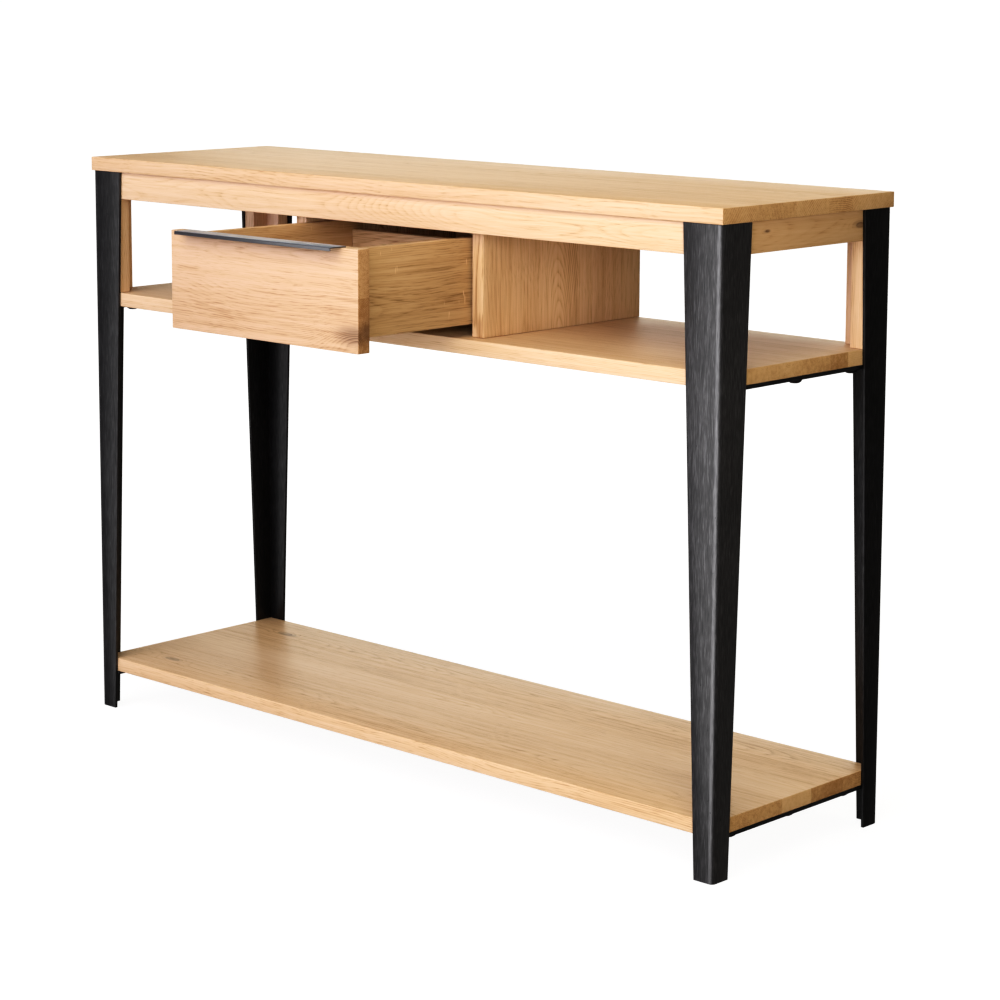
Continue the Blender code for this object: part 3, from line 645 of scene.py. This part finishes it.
# ======================================================================================================
# studio
# ======================================================================================================
FLOOR_GLOW_NEAR = 0.90         # the floor's own glow beside the table
FLOOR_GLOW_FAR = 1.02
FLOOR_COLOR = 0.16
LOW_KEY_POWER = 116.0
HIGH_KEY_POWER = 94.0
OVERHEAD_POWER = 24.0
RIGHT_POWER = 57.0
BACK_CARD_POWER = 110.0
COOL = (0.97, 0.955, 1.40)
WARM = (1.0, 0.965, 0.87)
FRONT_CARD_POWER = 225.0
TONE_CURVE = ((0.0, 0.0), (0.03, 0.0150), (0.10, 0.065), (0.25, 0.220), (0.42, 0.425), (0.62, 0.655),
              (0.85, 0.885), (1.0, 1.0))


def build_floor():
    bm = bmesh.new()
    bmesh.ops.create_grid(bm, x_segments=2, y_segments=2, size=30.0)
    mesh = bpy.data.meshes.new("studio_floor")
    bm.to_mesh(mesh)
    bm.free()
    floor = bpy.data.objects.new("studio_floor", mesh)
    bpy.context.scene.collection.objects.link(floor)
    material, g, shader = new_material("studio_floor")
    place = g.add("ShaderNodeTexCoord").outputs["Object"]
    mottle = g.noise(place, 3.0, 2.0)
    g.feed(shader.inputs["Base Color"],
           g.ramp(mottle, ((0.3, gray(FLOOR_COLOR)), (0.7, gray(FLOOR_COLOR * 1.02)))))
    shader.inputs["Roughness"].default_value = 0.9
    shader.inputs["Specular IOR Level"].default_value = 0.1
    shader.inputs["Emission Color"].default_value = (1, 1, 1, 1)
    distance = g.add("ShaderNodeVectorMath", {0: place}, operation="LENGTH").outputs["Value"]
    g.feed(shader.inputs["Emission Strength"],
           g.spread(distance, 0.7, 2.2, FLOOR_GLOW_NEAR, FLOOR_GLOW_FAR))
    mesh.materials.append(material)
    floor.visible_diffuse = False
    floor.visible_glossy = False


def add_light(name, place, target, size, power, color=(1, 1, 1), glossy=True, diffuse=True):
    light = bpy.data.lights.new(name, "AREA")
    light.shape = "RECTANGLE"
    light.size, light.size_y = size
    light.energy = power
    light.color = color
    item = bpy.data.objects.new(name, light)
    item.location = place
    item.rotation_euler = (Vector(target) - Vector(place)).to_track_quat("-Z", "Y").to_euler()
    item.visible_glossy = glossy
    item.visible_diffuse = diffuse
    item.visible_camera = False
    bpy.context.scene.collection.objects.link(item)
    return item


def build_lights():
    add_light("low_key", (-0.2, -3.7, 1.3), (0.0, 0.0, 0.45), (6.0, 2.4), LOW_KEY_POWER, COOL, glossy=False)
    add_light("high_key", (0.9, -3.1, 3.3), (0.1, 0.0, 0.45), (4.0, 2.0), HIGH_KEY_POWER, WARM, glossy=False)
    add_light("overhead", (0.0, 0.4, 3.4), (0.0, 0.1, 0.5), (2.6, 2.0), OVERHEAD_POWER, WARM, glossy=False)
    add_light("right_fill", (3.0, -2.2, 1.0), (0.0, 0.0, 0.6), (1.6, 1.6), RIGHT_POWER, WARM, glossy=False)
    add_light("front_card", (0.1, -3.7, 0.2), (0.1, 0.0, 0.2), (6.8, 6.0), FRONT_CARD_POWER, diffuse=False)
    add_light("back_card", (-2.4, 4.9, 1.3), (0.2, 0.0, 0.7), (5.5, 2.2), BACK_CARD_POWER, WARM,
              diffuse=False)


def build_world():
    """White to the camera; a dim warm glow fills the table's shaded sides and is not mirrored in it."""
    world = bpy.data.worlds.new("studio")
    bpy.context.scene.world = world
    world.use_nodes = True
    world.node_tree.nodes.clear()
    g = Graph(world.node_tree)
    path = g.add("ShaderNodeLightPath")
    direction = g.add("ShaderNodeTexCoord").outputs["Generated"]
    xyz = g.add("ShaderNodeSeparateXYZ", {0: direction})
    side = g.spread(xyz.outputs[0], -0.6, 0.9)
    glow = g.mix(side, (0.27, 0.250, 0.19, 1.0), (0.165, 0.140, 0.095, 1.0))
    glow = g.mix(path.outputs["Is Glossy Ray"], glow, (0.125, 0.116, 0.112, 1.0))
    soft = g.add("ShaderNodeBackground", {"Color": glow, "Strength": 1.0})
    plain = g.add("ShaderNodeBackground", {"Color": (1, 1, 1, 1), "Strength": 1.02})
    blend = g.add("ShaderNodeMixShader", {0: path.outputs["Is Camera Ray"], 1: soft.outputs[0],
                                          2: plain.outputs[0]})
    g.add("ShaderNodeOutputWorld", {"Surface": blend.outputs[0]})


def set_tone():
    """Standard view with a gentle contrast curve, as a studio picture is graded."""
    view = bpy.context.scene.view_settings
    view.view_transform = "Standard"
    view.use_curve_mapping = True
    curve = view.curve_mapping.curves[3]
    curve.points[0].location = TONE_CURVE[0]
    curve.points[-1].location = TONE_CURVE[-1]
    for place in TONE_CURVE[1:-1]:
        curve.points.new(*place)
    view.curve_mapping.update()


def build_camera():
    data = bpy.data.cameras.new("photo_camera")
    data.sensor_fit = "VERTICAL"
    data.sensor_height = CAMERA_SENSOR
    data.sensor_width = CAMERA_SENSOR_WIDTH
    data.lens = CAMERA_LENS
    data.shift_y = CAMERA_SHIFT_Y
    data.clip_start = 0.05
    data.clip_end = 100.0
    camera = bpy.data.objects.new("photo_camera", data)
    turn = Vector(CAMERA_TURN)
    world_to_camera = Matrix.Rotation(turn.length, 3, turn.normalized())
    flip = Matrix(((1, 0, 0), (0, -1, 0), (0, 0, -1)))
    camera.matrix_world = Matrix.Translation(CAMERA_PLACE) @ (world_to_camera.transposed() @ flip).to_4x4()
    bpy.context.scene.collection.objects.link(camera)
    bpy.context.scene.camera = camera


build_case()
build_drawer()
build_metal()
build_floor()
build_lights()
build_world()
build_camera()
set_tone()
